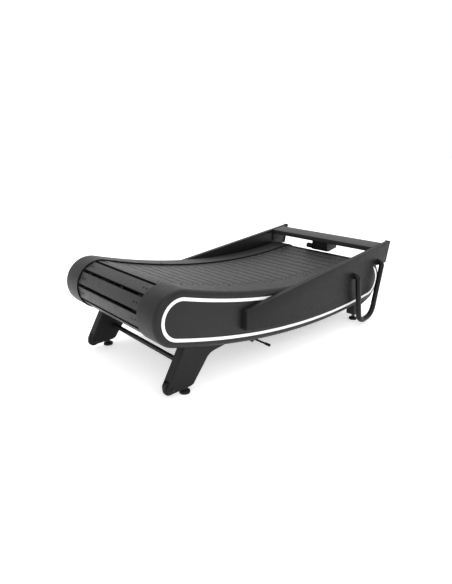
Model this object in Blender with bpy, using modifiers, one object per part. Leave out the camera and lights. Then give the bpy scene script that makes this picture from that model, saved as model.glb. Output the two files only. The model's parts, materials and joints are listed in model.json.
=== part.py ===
"""Curved manual treadmill: a slat belt on two pulley sets between two side housings, with wings at the front.

Axes: +X points to the front, where the crossbar is, +Y to the user's left, +Z up. The floor is z = 0 and the origin
is under the middle of the object. Lengths are in metres.
"""

import math

import bmesh
import bpy
from mathutils import Matrix, Vector

# ---- driving dimensions ----
DRUM_SPACING = 1.400            # rear pulley axis to front pulley axis, along X
REAR_X = -0.7196                # rear pulley axis
ARC_RADIUS = 3.610              # radius of the body's curved centreline
LOW_X = REAR_X + 1.027          # lowest point of the centreline
LOW_Z = 0.211
GAP = 0.0003                    # between pieces that touch

HOUSING_RADIUS = 0.120          # half the height of the side housings
HOUSING_OUTER = 0.380           # outer face, from the middle plane
HOUSING_INNER = 0.254           # open inner side, from the middle plane
HOUSING_ROUND = 0.022
HOUSING_WALL = 0.003
STRIPE_OUTER = 0.092            # the white loop's edges, from the centreline
STRIPE_INNER = 0.074
STRIPE_THICK = 0.001

SLAT_COUNT = 56
SLAT_TOP = 0.1125               # slat surface above the centreline
SLAT_THICK = 0.0115
SLAT_HALF_LENGTH = 0.250
SLAT_GAP = 0.0022               # between slats on the flat
BELT_THICK = 0.004
BELT_SINK = 0.002               # how far a drive belt reaches into the slats moulded on it
BELT_Y = (0.196, 0.224)         # inner and outer edge of a drive belt
PULLEY_CLEARANCE = 0.0012
FIRST_GAP_DEG = 24.5            # from the top tangent of the rear wrap to the first slat gap
AXLE_RADIUS = 0.0125
AXLE_HALF = 0.288

RAIL_OFFSET = 0.114             # half the height of a rail plate
RAIL_Y = (0.255, 0.261)
STRIP_Y = (0.228, 0.2547)
CROSS_MEMBERS_AT = (0.28, 0.70, 1.12)     # from the rear pulley axis
CROSS_MEMBER_SIZE = (0.060, 0.036)

WING_OUTER = 0.410
WING_INNER = 0.3825
WING_SHEET = 0.0025
WING_REAR = 0.336               # from the rear pulley axis
WING_TIP = (1.5475, 0.4514)     # top front corner
WING_TOP_SLOPE = 0.111
WING_LOW_OFFSET = -0.053        # lower edge, below the centreline
WING_LOW_FRONT = 1.335          # where the lower edge starts to turn up
WING_CORNER = 0.083             # radius of the turned-up corner
WING_NOTCH = (1.385, 0.326)     # top of the turned-up edge
WING_LOW_TIP = (1.5195, 0.326)

CROSSBAR = (1.398, 1.506)       # rear and front face, from the rear pulley axis
CROSSBAR_HEIGHT = 0.030
UNIT_HALF = 0.058               # half the width of the unit under the crossbar
UNIT_LOW = ((1.420, 0.3478), (1.447, 0.3440), (1.530, 0.3585))     # its lower edge in side view
PLUG_PLACE = (1.426, 0.368)
FRONT_PLATE_THICK = 0.010
FRONT_PLATE_RISE = 0.005        # above the wing's top

HANDLE_Y = 0.437
HANDLE_RADIUS = 0.015
HANDLE_BEND = 0.018             # radius of the bend from the leg into the wing
HANDLE_FLANGE = (0.018, 0.004)  # radius and thickness

LEG_Y = (0.303, 0.349)
LEG_SHEET = 0.004
WHEEL_CENTRE = (-0.029, 0.049)  # from the rear pulley axis, and height
WHEEL_RADIUS = 0.030
WHEEL_HALF = 0.010
REAR_FOOT_X = 0.050
FRONT_FOOT_X = 1.316
FRONT_FOOT_Y = 0.350
BRACKET_HALF = 0.024            # half the width of a front bracket
FLANGE_OUTLINE = ((1.357, 0.128), (1.357, 0.089), (1.408, 0.104), (1.456, 0.121), (1.462, 0.127),
                  (1.462, 0.140))   # of a front bracket's flange, in side view
FOOT_RADIUS = 0.024
TIE_TUBE = (0.085, 0.103, 0.018)  # x, height and side of the tube between the rear legs

BRAKE_X = 0.530
BRAKE_PIVOT = (-0.268, 0.083)   # y and height of the pivot pin
BRAKE_REACH = (-0.374, -0.150)  # the rod's two ends

UP = Vector((0, 0, 1))


# ---- scene, collections and materials ----

def clear_scene():
    for obj in list(bpy.data.objects):
        bpy.data.objects.remove(obj, do_unlink=True)


def new_collection(name, hidden=False):
    collection = bpy.data.collections.new(name)
    bpy.context.scene.collection.children.link(collection)
    collection.hide_render = hidden
    return collection


def material(name, color, roughness, metallic=0.0):
    mat = bpy.data.materials.new(name)
    mat.use_nodes = True
    shader = mat.node_tree.nodes["Principled BSDF"]
    shader.inputs["Base Color"].default_value = (*color, 1.0)
    shader.inputs["Roughness"].default_value = roughness
    shader.inputs["Metallic"].default_value = metallic
    mat.diffuse_color = (*color, 1.0)
    return mat


FINISHES = {
    "black_coat": ((0.040, 0.040, 0.042), 0.45, 0.3),
    "shroud_plastic": ((0.045, 0.045, 0.047), 0.50, 0.0),
    "white_trim": ((0.90, 0.90, 0.90), 0.45, 0.0),
    "slat_rubber": ((0.10, 0.10, 0.105), 0.75, 0.0),
    "rubber": ((0.015, 0.015, 0.015), 0.80, 0.0),
    "steel": ((0.45, 0.45, 0.46), 0.35, 1.0),
    "zinc": ((0.55, 0.55, 0.53), 0.40, 1.0),
    "guide_plastic": ((0.70, 0.70, 0.68), 0.50, 0.0),
    "pulley_alloy": ((0.50, 0.50, 0.52), 0.40, 1.0),
}


# ---- small modelling helpers ----

def link(obj, collection):
    collection.objects.link(obj)
    return obj


def finish(obj, name, finish_name, collection):
    """Names the piece, gives it its own material and smooth shading on its round faces."""
    obj.name = name
    obj.data.name = name
    color, roughness, metallic = FINISHES[finish_name]
    obj.data.materials.clear()
    obj.data.materials.append(material(name + "_" + finish_name, color, roughness, metallic))
    obj.data.shade_smooth()
    obj.data.set_sharp_from_angle(angle=math.radians(30))
    if obj.name not in collection.objects:
        collection.objects.link(obj)
    return obj


def evaluated_mesh(obj):
    """The object's mesh with its modifiers applied, in the object's own frame."""
    bpy.context.view_layer.update()
    graph = bpy.context.evaluated_depsgraph_get()
    return bpy.data.meshes.new_from_object(obj.evaluated_get(graph), depsgraph=graph)


def weld(mesh, distance=0.00002):
    bm = bmesh.new()
    bm.from_mesh(mesh)
    bmesh.ops.remove_doubles(bm, verts=bm.verts, dist=distance)
    bmesh.ops.recalc_face_normals(bm, faces=bm.faces)
    bm.to_mesh(mesh)
    bm.free()


def as_mesh(obj, collection):
    """A curve, or a mesh with modifiers, as a plain welded mesh object in its place."""
    mesh = evaluated_mesh(obj)
    weld(mesh)
    solid = bpy.data.objects.new(obj.name, mesh)
    solid.matrix_world = obj.matrix_world.copy()
    bpy.data.objects.remove(obj, do_unlink=True)
    return link(solid, collection)


def apply_place(obj):
    obj.data.transform(obj.matrix_basis)
    obj.matrix_basis = Matrix.Identity(4)
    return obj


def flat_plate(loops, y_near, y_far, collection):
    """A flat piece in an X-Z plane: the first loop is its outline and the others are holes."""
    curve = bpy.data.curves.new("outline", "CURVE")
    curve.dimensions = "2D"
    curve.fill_mode = "BOTH"
    curve.extrude = abs(y_far - y_near) / 2
    for loop in loops:
        spline = curve.splines.new("POLY")
        spline.points.add(len(loop) - 1)
        for point, (x, z) in zip(spline.points, loop):
            point.co = (x, z, 0, 1)
        spline.use_cyclic_u = True
    obj = link(bpy.data.objects.new("outline", curve), collection)
    obj.rotation_euler = (math.radians(90), 0, 0)
    obj.location = (0, (y_near + y_far) / 2, 0)
    bpy.context.view_layer.update()
    return apply_place(as_mesh(obj, collection))


def box(low, high, collection):
    bpy.ops.mesh.primitive_cube_add(size=1)
    obj = bpy.context.object
    for owner in list(obj.users_collection):
        owner.objects.unlink(obj)
    size = Vector(high) - Vector(low)
    obj.scale = size
    obj.location = Vector(low) + size / 2
    bpy.context.view_layer.update()
    return apply_place(link(obj, collection))


def cylinder(start, end, radius, collection, sides=32):
    start, end = Vector(start), Vector(end)
    mesh = bpy.data.meshes.new("cylinder")
    bm = bmesh.new()
    bmesh.ops.create_cone(bm, cap_ends=True, segments=sides, radius1=radius, radius2=radius,
                          depth=(end - start).length)
    turn = UP.rotation_difference((end - start).normalized()).to_matrix().to_4x4()
    bmesh.ops.transform(bm, matrix=Matrix.Translation((start + end) / 2) @ turn, verts=bm.verts)
    bm.to_mesh(mesh)
    bm.free()
    return link(bpy.data.objects.new("cylinder", mesh), collection)


def tube(points, radius, collection, resolution=3):
    """A round bar along a list of points, with filled ends."""
    curve = bpy.data.curves.new("tube", "CURVE")
    curve.dimensions = "3D"
    curve.bevel_depth = radius
    curve.bevel_resolution = resolution
    curve.use_fill_caps = True
    spline = curve.splines.new("POLY")
    spline.points.add(len(points) - 1)
    for point, co in zip(spline.points, points):
        point.co = (*co, 1)
    return as_mesh(link(bpy.data.objects.new("tube", curve), collection), collection)


def boolean(target, other, operation, collection):
    """Applies a Boolean and removes the other object."""
    cut = target.modifiers.new("Boolean", "BOOLEAN")
    cut.operation = operation
    cut.object = other
    result = as_mesh(target, collection)
    bpy.data.objects.remove(other, do_unlink=True)
    return result


def turned(profile, steps, collection):
    """A closed turned piece about Z: the profile runs down its outer side, from axis to axis or as a closed loop."""
    mesh = bpy.data.meshes.new("turned")
    points = [(r, 0.0, z) for r, z in profile]
    edges = [(i, i + 1) for i in range(len(points) - 1)]
    if points[0][0] > 1e-6:
        edges.append((len(points) - 1, 0))
    mesh.from_pydata(points, edges, [])
    obj = link(bpy.data.objects.new("turned", mesh), collection)
    screw = obj.modifiers.new("Screw", "SCREW")
    screw.axis = "Z"
    screw.steps = steps
    screw.render_steps = steps
    screw.use_merge_vertices = True
    screw.merge_threshold = 0.00005
    return as_mesh(obj, collection)


def lay_along_y(obj, centre):
    """Turns a piece made about Z so that its axis runs along Y, through centre."""
    obj.data.transform(Matrix.Rotation(math.radians(-90), 4, "X"))
    obj.location = centre
    return obj


def open_shell(obj, open_faces, thickness, collection):
    """Deletes the faces that open_faces picks and gives the rest a wall on its inner side."""
    bm = bmesh.new()
    bm.from_mesh(obj.data)
    bm.normal_update()
    gone = [face for face in bm.faces if open_faces(face)]
    bmesh.ops.delete(bm, geom=gone, context="FACES")
    bm.to_mesh(obj.data)
    bm.free()
    solid = obj.modifiers.new("Solidify", "SOLIDIFY")
    solid.thickness = thickness
    solid.offset = -1.0
    solid.use_even_offset = True
    return as_mesh(obj, collection)


def round_face_edges(obj, y_face, radius, segments):
    """Rounds the edge between the side walls and the face that lies at y_face."""
    bm = bmesh.new()
    bm.from_mesh(obj.data)
    bm.normal_update()
    for direction in (-1, 1):
        cap = [face for face in bm.faces if face.normal.y * direction > 0.99]
        bmesh.ops.dissolve_faces(bm, faces=cap)
    edges = []
    for edge in bm.edges:
        flat = all(abs(vert.co.y - y_face) < 1e-5 for vert in edge.verts)
        if flat and edge.calc_face_angle(0.0) > 1.0:
            edges.append(edge)
    bmesh.ops.bevel(bm, geom=edges, offset=radius, segments=segments, profile=0.5, affect="EDGES")
    bm.to_mesh(obj.data)
    bm.free()
    return obj


# ---- the body's curve ----

def from_rear(x, z):
    """A side-view point given from the rear pulley axis, in the object's frame."""
    return (REAR_X + x, z)


def arc_angle(x):
    return math.asin((x - LOW_X) / ARC_RADIUS)


def on_curve(angle, offset):
    """The side-view point on the curve offset upwards from the centreline, at an angle about its centre."""
    radius = ARC_RADIUS - offset
    return (LOW_X + radius * math.sin(angle), LOW_Z + ARC_RADIUS - radius * math.cos(angle))


REAR_ANGLE = arc_angle(REAR_X)
FRONT_ANGLE = arc_angle(REAR_X + DRUM_SPACING)
REAR_CENTRE = on_curve(REAR_ANGLE, 0.0)
FRONT_CENTRE = on_curve(FRONT_ANGLE, 0.0)


def height_at(x, offset):
    """Height of the offset curve at a distance x from the rear pulley axis."""
    angle = math.asin((REAR_X + x - LOW_X) / (ARC_RADIUS - offset))
    return on_curve(angle, offset)[1]


def around(centre, radius, start, sweep, steps):
    """Points on an arc in side view, without its last point. Angles run from +X to +Z."""
    points = []
    for k in range(steps):
        angle = start + sweep * k / steps
        points.append((centre[0] + radius * math.cos(angle), centre[1] + radius * math.sin(angle)))
    return points


def band(offset, long_steps=14, end_steps=16):
    """The racetrack outline at a distance from the centreline: top run, front end, bottom run, rear end."""
    span = FRONT_ANGLE - REAR_ANGLE
    top = [on_curve(REAR_ANGLE + span * k / long_steps, offset) for k in range(long_steps)]
    front = around(FRONT_CENTRE, offset, math.pi / 2 + FRONT_ANGLE, -math.pi, end_steps)
    bottom = [on_curve(FRONT_ANGLE - span * k / long_steps, -offset) for k in range(long_steps)]
    rear = around(REAR_CENTRE, offset, -math.pi / 2 + REAR_ANGLE, -math.pi, end_steps)
    return top + front + bottom + rear


def ring(centre, radius, steps=32):
    return around(centre, radius, 0.0, 2 * math.pi, steps)


def loop_place(distance, offset):
    """Place and tangent angle at a distance along the belt loop, from the top tangent of the rear wrap, backwards."""
    wrap = math.pi * offset
    span = FRONT_ANGLE - REAR_ANGLE
    bottom = (ARC_RADIUS + offset) * span
    top = (ARC_RADIUS - offset) * span
    distance = distance % (2 * wrap + bottom + top)
    if distance < wrap:
        turn = math.pi / 2 + REAR_ANGLE + distance / offset
        return (REAR_CENTRE[0] + offset * math.cos(turn), REAR_CENTRE[1] + offset * math.sin(turn)), turn
    distance -= wrap
    if distance < bottom:
        angle = REAR_ANGLE + distance / (ARC_RADIUS + offset)
        return on_curve(angle, -offset), angle - math.pi / 2
    distance -= bottom
    if distance < wrap:
        turn = FRONT_ANGLE - math.pi / 2 + distance / offset
        return (FRONT_CENTRE[0] + offset * math.cos(turn), FRONT_CENTRE[1] + offset * math.sin(turn)), turn
    distance -= wrap
    angle = FRONT_ANGLE - distance / (ARC_RADIUS - offset)
    return on_curve(angle, offset), angle + math.pi / 2


def both_sides(build):
    """Runs a builder for the right side, at -Y, and for the left side."""
    for side, word in ((-1, "right"), (1, "left")):
        build(side, word)


# ---- belt, pulleys and axles ----

def make_belt(parts, cutters):
    """Drive belts on both sides, with the slats moulded onto them: one loop."""
    slat_bottom = SLAT_TOP - SLAT_THICK
    outer = slat_bottom + BELT_SINK
    inner = slat_bottom - BELT_THICK
    neutral = slat_bottom - BELT_THICK / 2
    span = FRONT_ANGLE - REAR_ANGLE
    pitch = (2 * math.pi * neutral + 2 * ARC_RADIUS * span) / SLAT_COUNT
    bm = bmesh.new()
    start = math.radians(FIRST_GAP_DEG) * neutral + pitch / 2
    for k in range(SLAT_COUNT):
        (x, z), turn = loop_place(start + k * pitch, neutral)
        size = Matrix.Diagonal((pitch - SLAT_GAP, 2 * SLAT_HALF_LENGTH, SLAT_THICK, 1))
        middle = SLAT_TOP - SLAT_THICK / 2 - neutral
        place = Matrix.Translation((x, 0, z)) @ Matrix.Rotation(math.pi / 2 - turn, 4, "Y")
        bmesh.ops.create_cube(bm, size=1, matrix=place @ Matrix.Translation((0, 0, middle)) @ size)
    mesh = bpy.data.meshes.new("slats")
    bm.to_mesh(mesh)
    bm.free()
    belt = link(bpy.data.objects.new("slats", mesh), parts)
    for side in (-1, 1):
        loops = [band(outer, 10, 12), band(inner, 10, 12)]
        drive = flat_plate(loops, side * BELT_Y[0], side * BELT_Y[1], cutters)
        belt = boolean(belt, drive, "UNION", parts)
    finish(belt, "slat_belt", "slat_rubber", parts)


def make_pulley_set(end, centre, parts):
    """Axle with a pulley under each drive belt, and a bearing in each rail plate."""
    rim = SLAT_TOP - SLAT_THICK - BELT_THICK - PULLEY_CLEARANCE
    axle = turned([(0, AXLE_HALF), (AXLE_RADIUS - 0.001, AXLE_HALF), (AXLE_RADIUS, AXLE_HALF - 0.001),
                   (AXLE_RADIUS, -AXLE_HALF + 0.001), (AXLE_RADIUS - 0.001, -AXLE_HALF), (0, -AXLE_HALF)], 20, parts)
    lay_along_y(axle, (centre[0], 0, centre[1]))
    finish(axle, end + "_axle", "steel", parts)
    bore = AXLE_RADIUS + GAP
    profile = [(bore, 0.022), (0.026, 0.022), (0.028, 0.005), (rim - 0.010, 0.005), (rim - 0.008, 0.016),
               (rim, 0.016), (rim, -0.016), (rim - 0.008, -0.016), (rim - 0.010, -0.005), (0.028, -0.005),
               (0.026, -0.022), (bore, -0.022)]
    block = [(AXLE_RADIUS + 0.0005, 0.009), (0.030, 0.009), (0.034, 0.005), (0.034, -0.009),
             (AXLE_RADIUS + 0.0005, -0.009)]

    def side_pieces(side, word):
        pulley = turned(profile, 20, parts)
        lay_along_y(pulley, (centre[0], side * (BELT_Y[0] + BELT_Y[1]) / 2, centre[1]))
        finish(pulley, end + "_pulley_" + word, "pulley_alloy", parts)
        bearing = turned(block, 20, parts)
        if side < 0:
            bearing.data.transform(Matrix.Rotation(math.pi, 4, "X"))
        lay_along_y(bearing, (centre[0], side * (RAIL_Y[1] + 0.009 + GAP), centre[1]))
        finish(bearing, end + "_bearing_" + word, "steel", parts)

    both_sides(side_pieces)


# ---- frame ----

def make_rail(side, word, parts):
    holes = [ring(centre, AXLE_RADIUS + 0.0015, 18) for centre in (REAR_CENTRE, FRONT_CENTRE)]
    rail = flat_plate([band(RAIL_OFFSET)] + holes, side * RAIL_Y[0], side * RAIL_Y[1], parts)
    finish(rail, "side_rail_" + word, "black_coat", parts)


def make_guide_strip(side, word, parts):
    """Low-friction strip that carries the slat ends along the top run."""
    high = SLAT_TOP - SLAT_THICK - 0.0008
    low = high - 0.012
    steps = 14
    angles = [REAR_ANGLE + (FRONT_ANGLE - REAR_ANGLE) * k / steps for k in range(steps + 1)]
    outline = [on_curve(angle, high) for angle in angles] + [on_curve(angle, low) for angle in reversed(angles)]
    strip = flat_plate([outline], side * STRIP_Y[0], side * STRIP_Y[1], parts)
    finish(strip, "guide_strip_" + word, "guide_plastic", parts)


def rectangular_tube(low, high, wall, collection):
    """A box section along Y, open at both ends."""
    obj = box(low, high, collection)
    return open_shell(obj, lambda face: abs(face.normal.y) > 0.9, wall, collection)


def make_cross_members(parts):
    half_x, half_z = CROSS_MEMBER_SIZE[0] / 2, CROSS_MEMBER_SIZE[1] / 2
    half_y = RAIL_Y[0] - GAP
    for word, distance in zip(("rear", "middle", "front"), CROSS_MEMBERS_AT):
        x = REAR_X + distance
        z = height_at(distance, 0.0)
        member = rectangular_tube((x - half_x, -half_y, z - half_z), (x + half_x, half_y, z + half_z), 0.003, parts)
        finish(member, "cross_member_" + word, "black_coat", parts)


def make_housing(side, word, parts):
    """Side cover: a racetrack tray, open towards the belt, with its outer edge rounded."""
    shell = flat_plate([band(HOUSING_RADIUS)], side * HOUSING_INNER, side * HOUSING_OUTER, parts)
    shell = round_face_edges(shell, side * HOUSING_OUTER, HOUSING_ROUND, 3)
    inner_face = side * HOUSING_INNER
    shell = open_shell(shell, lambda face: abs(face.calc_center_median().y - inner_face) < 1e-4, HOUSING_WALL, parts)
    finish(shell, "side_housing_" + word, "shroud_plastic", parts)


def make_stripe(side, word, parts):
    loops = [band(STRIPE_OUTER), band(STRIPE_INNER)]
    near = side * (HOUSING_OUTER + GAP)
    stripe = flat_plate(loops, near, near + side * STRIPE_THICK, parts)
    finish(stripe, "trim_loop_" + word, "white_trim", parts)


# ---- wings, crossbar and lifting handles ----

def wing_top(x):
    """Height of the wing's top edge at a distance from the rear pulley axis."""
    return WING_TIP[1] - (WING_TIP[0] - x) * WING_TOP_SLOPE


def wing_outline():
    """Side view: straight rear and top edges, raked front, and a lower edge along the body's curve."""
    steps = 12
    lower = []
    for k in range(steps + 1):
        x = WING_REAR + (WING_LOW_FRONT - WING_REAR) * k / steps
        lower.append((x, height_at(x, WING_LOW_OFFSET)))
    corner = (WING_LOW_FRONT, lower[-1][1] + WING_CORNER)
    turn_up = around(corner, WING_CORNER, -math.pi / 2, math.radians(135), 10)[1:]
    points = lower + turn_up + [WING_NOTCH, WING_LOW_TIP, WING_TIP, (WING_REAR, wing_top(WING_REAR))]
    return [from_rear(x, z) for x, z in points]


def make_wing(side, word, parts):
    """Outer cover: a tray open towards the machine. A flat inner panel closes it."""
    tray = flat_plate([wing_outline()], side * WING_INNER, side * WING_OUTER, parts)
    tray = round_face_edges(tray, side * WING_OUTER, 0.003, 2)
    inner_face = side * WING_INNER
    tray = open_shell(tray, lambda face: abs(face.calc_center_median().y - inner_face) < 1e-4, WING_SHEET, parts)
    finish(tray, "wing_cover_" + word, "black_coat", parts)
    inset = WING_SHEET + 2 * GAP
    panel = flat_plate([shrunk(wing_outline(), inset)], side * WING_INNER, side * (WING_INNER + 0.003), parts)
    finish(panel, "wing_panel_" + word, "black_coat", parts)


def shrunk(outline, inset):
    """The outline moved inwards by inset, corner by corner. The outline runs counter-clockwise."""
    count = len(outline)
    result = []
    for k in range(count):
        before = Vector(outline[k - 1])
        here = Vector(outline[k])
        after = Vector(outline[(k + 1) % count])
        first = (here - before).normalized()
        second = (after - here).normalized()
        normal = Vector((-first.y, first.x)) + Vector((-second.y, second.x))
        normal.normalize()
        reach = inset / max(0.3, normal.dot(Vector((-first.y, first.x))))
        result.append(tuple(here + normal * reach))
    return result


def make_front_plate(side, word, parts):
    """Flat bar along the wing's raked front edge; it stands a little above the wing."""
    low, high = Vector(WING_LOW_TIP), Vector(WING_TIP)
    along = (high - low).normalized()
    out = Vector((along.y, -along.x))
    near = out * GAP
    far = out * (GAP + FRONT_PLATE_THICK)
    top = high + along * FRONT_PLATE_RISE
    corners = [low + near, low + far, top + far, top + near]
    plate = flat_plate([[from_rear(*corner) for corner in corners]], side * (WING_INNER - 0.004),
                       side * WING_OUTER, parts)
    finish(plate, "wing_front_bar_" + word, "black_coat", parts)


def sloped(distance, drop):
    """A side-view point below the wing's top line, square to it."""
    slope = math.atan(WING_TOP_SLOPE)
    x = distance + drop * math.sin(slope)
    z = wing_top(distance) - drop * math.cos(slope)
    return from_rear(x, z)


def make_crossbar(parts):
    """Box section between the wings, flush with their tops, with a bolting plate at each end."""
    inset = 0.0005
    outline = [sloped(CROSSBAR[0], inset), sloped(CROSSBAR[0], CROSSBAR_HEIGHT),
               sloped(CROSSBAR[1], CROSSBAR_HEIGHT), sloped(CROSSBAR[1], inset)]
    plate_far = WING_INNER - GAP
    plate_near = plate_far - 0.006
    half = plate_near - GAP
    bar = flat_plate([outline], -half, half, parts)
    bar = open_shell(bar, lambda face: abs(face.normal.y) > 0.9, 0.003, parts)
    finish(bar, "crossbar", "black_coat", parts)

    def end_plate(side, word):
        margin = [sloped(CROSSBAR[0] + 0.004, inset), sloped(CROSSBAR[0] - 0.012, CROSSBAR_HEIGHT + 0.045),
                  sloped(CROSSBAR[1] - 0.004, CROSSBAR_HEIGHT + 0.045), sloped(CROSSBAR[1] - 0.002, inset)]
        plate = flat_plate([margin], side * plate_near, side * plate_far, parts)
        finish(plate, "crossbar_end_" + word, "black_coat", parts)

    both_sides(end_plate)


def make_centre_unit(parts):
    """Box-shaped housing hung under the middle of the crossbar, with a round plug on its left side."""
    drop = CROSSBAR_HEIGHT + GAP
    outline = [from_rear(x, z) for x, z in UNIT_LOW]
    outline += [sloped(CROSSBAR[0] + 0.130, drop), sloped(CROSSBAR[0] + 0.014, drop)]
    unit = flat_plate([outline], -UNIT_HALF, UNIT_HALF, parts)
    bm = bmesh.new()
    bm.from_mesh(unit.data)
    bmesh.ops.bevel(bm, geom=bm.edges[:], offset=0.004, segments=2, profile=0.5, affect="EDGES")
    bm.to_mesh(unit.data)
    bm.free()
    finish(unit, "centre_unit", "shroud_plastic", parts)
    plug = turned([(0, 0.042), (0.012, 0.042), (0.016, 0.038), (0.016, 0.006), (0.018, 0.005), (0.018, 0),
                   (0, 0)], 20, parts)
    plug.data.transform(Matrix.Rotation(math.radians(-90), 4, "X"))
    x, z = from_rear(*PLUG_PLACE)
    plug.location = (x, UNIT_HALF + GAP, z)
    finish(plug, "centre_unit_plug", "rubber", parts)


def elbow(top, towards):
    """A bend from the wing's face at top into the direction towards, in the handle's own plane."""
    corner = [(top.x, WING_OUTER + 0.0015, top.y)]
    for k in range(6):
        angle = math.radians(90) * k / 5
        centre = top + towards * HANDLE_BEND * (1 - math.cos(angle))
        corner.append((centre.x, HANDLE_Y - HANDLE_BEND * (1 - math.sin(angle)), centre.y))
    return corner


def handle_route(side):
    """Centre line of a lifting handle: out from the wing, down, round the bottom and up again."""
    rear_top, rear_low = Vector((1.180, 0.309)), Vector((1.221, 0.094))
    bottom_rear, bottom_front = Vector((1.281, 0.031)), Vector((1.318, 0.035))
    front_low, front_top = Vector((1.383, 0.104)), Vector((1.432, 0.346))
    low = quadratic(rear_low, Vector((1.229, 0.036)), bottom_rear, 6)
    low += quadratic(bottom_front, Vector((1.373, 0.043)), front_low, 7)
    route = elbow(rear_top, (rear_low - rear_top).normalized())
    route += [(point.x, HANDLE_Y, point.y) for point in low]
    route += reversed(elbow(front_top, (front_low - front_top).normalized()))
    return [(REAR_X + x, side * y, z) for x, y, z in route]


def quadratic(start, control, end, steps):
    """Points along a curve from start to end that leaves and arrives towards the control point."""
    points = []
    for k in range(steps + 1):
        t = k / steps
        points.append(start * (1 - t) ** 2 + control * 2 * t * (1 - t) + end * t ** 2)
    return points


def make_handle(side, word, parts):
    """Bent tube with a round flange at each end, where it bolts to the wing."""
    route = handle_route(side)
    handle = tube(route, HANDLE_RADIUS, parts, 3)
    for end in (route[0], route[-1]):
        near = (end[0], side * (WING_OUTER + GAP), end[2])
        far = (end[0], side * (WING_OUTER + GAP + HANDLE_FLANGE[1]), end[2])
        flange = cylinder(near, far, HANDLE_FLANGE[0], parts, 28)
        handle = boolean(handle, flange, "UNION", parts)
    finish(handle, "lift_handle_" + word, "black_coat", parts)


# ---- legs, feet and transport wheels ----

def cut_under_housing(obj, side, parts, cutters):
    """Trims a piece that stands under a housing to the housing's underside."""
    outer_face = side * (HOUSING_OUTER + GAP)
    above = flat_plate([band(HOUSING_RADIUS + GAP)], side * 0.25, outer_face, cutters)
    above = round_face_edges(above, outer_face, HOUSING_ROUND, 3)
    return boolean(obj, above, "DIFFERENCE", parts)


def leg_outline():
    """Side view of a rear leg: raked, rounded round the wheel at the bottom, flared forwards at the top."""
    top = [(0.290, height_at(0.280, -HOUSING_RADIUS) + 0.012), (0.048, height_at(0.048, -HOUSING_RADIUS) + 0.012)]
    heel_centre, heel_radius = (-0.028, 0.053), 0.023
    heel = around(heel_centre, heel_radius, math.radians(150.5), math.radians(119.5), 7)
    heel.append((heel_centre[0], heel_centre[1] - heel_radius))
    toe = [(0.060, 0.031), (0.080, 0.035), (0.091, 0.047)]
    front = [(0.156, 0.130), (0.166, 0.141), (0.180, 0.150), (0.200, 0.155), (0.259, 0.162)]
    return [from_rear(x, z) for x, z in top + heel + toe + front]


def make_leg(side, word, parts, cutters):
    leg = flat_plate([leg_outline()], side * LEG_Y[0], side * LEG_Y[1], parts)
    leg = open_shell(leg, lambda face: face.normal.z > 0.9, LEG_SHEET, parts)
    leg = cut_under_housing(leg, side, parts, cutters)
    middle = side * (LEG_Y[0] + LEG_Y[1]) / 2
    x, z = from_rear(*WHEEL_CENTRE)
    hole = cylinder((x, middle - 0.05, z), (x, middle + 0.05, z), 0.0045, cutters, 18)
    leg = boolean(leg, hole, "DIFFERENCE", parts)
    slot_half = WHEEL_HALF + 0.004
    reach = WHEEL_RADIUS + 0.005
    slot = box((x - 0.060, middle - slot_half, z - 0.060), (x + reach, middle + slot_half, z + reach), cutters)
    leg = boolean(leg, slot, "DIFFERENCE", parts)
    foot_x = REAR_X + REAR_FOOT_X
    hole = cylinder((foot_x, middle, 0.010), (foot_x, middle, 0.050), 0.0065, cutters, 20)
    leg = boolean(leg, hole, "DIFFERENCE", parts)
    finish(leg, "rear_leg_" + word, "black_coat", parts)


def make_wheel(side, word, parts):
    middle = side * (LEG_Y[0] + LEG_Y[1]) / 2
    x, z = from_rear(*WHEEL_CENTRE)
    bore = 0.0045
    profile = [(bore, 0.012), (0.009, 0.012), (0.009, WHEEL_HALF), (WHEEL_RADIUS - 0.003, WHEEL_HALF),
               (WHEEL_RADIUS, WHEEL_HALF - 0.004), (WHEEL_RADIUS, -WHEEL_HALF + 0.004),
               (WHEEL_RADIUS - 0.003, -WHEEL_HALF), (0.009, -WHEEL_HALF), (0.009, -0.012), (bore, -0.012)]
    wheel = lay_along_y(turned(profile, 20, parts), (x, middle, z))
    finish(wheel, "transport_wheel_" + word, "rubber", parts)
    half = (LEG_Y[1] - LEG_Y[0]) / 2
    bolt = turned([(0, half + 0.006), (0.0065, half + 0.006), (0.0075, half + 0.0045), (0.0075, half + GAP),
                   (0.004, half + GAP), (0.004, -half - GAP), (0.0075, -half - GAP), (0.0075, -half - 0.006),
                   (0, -half - 0.006)], 12, parts)
    lay_along_y(bolt, (x, middle, z))
    finish(bolt, "wheel_axle_" + word, "zinc", parts)


def make_foot(name, x, y, parts):
    """Levelling foot: rubber-soled disc, lock nut and threaded stem in one turned piece."""
    profile = [(0, 0.078), (0.006, 0.077), (0.006, 0.024), (0.0105, 0.0235), (0.0105, 0.0160), (0.014, 0.0150),
               (FOOT_RADIUS - 0.002, 0.011), (FOOT_RADIUS, 0.009), (FOOT_RADIUS, 0.0015),
               (FOOT_RADIUS - 0.0015, 0), (0, 0)]
    foot = turned(profile, 20, parts)
    foot.location = (x, y, 0)
    finish(foot, name, "rubber", parts)


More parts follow.
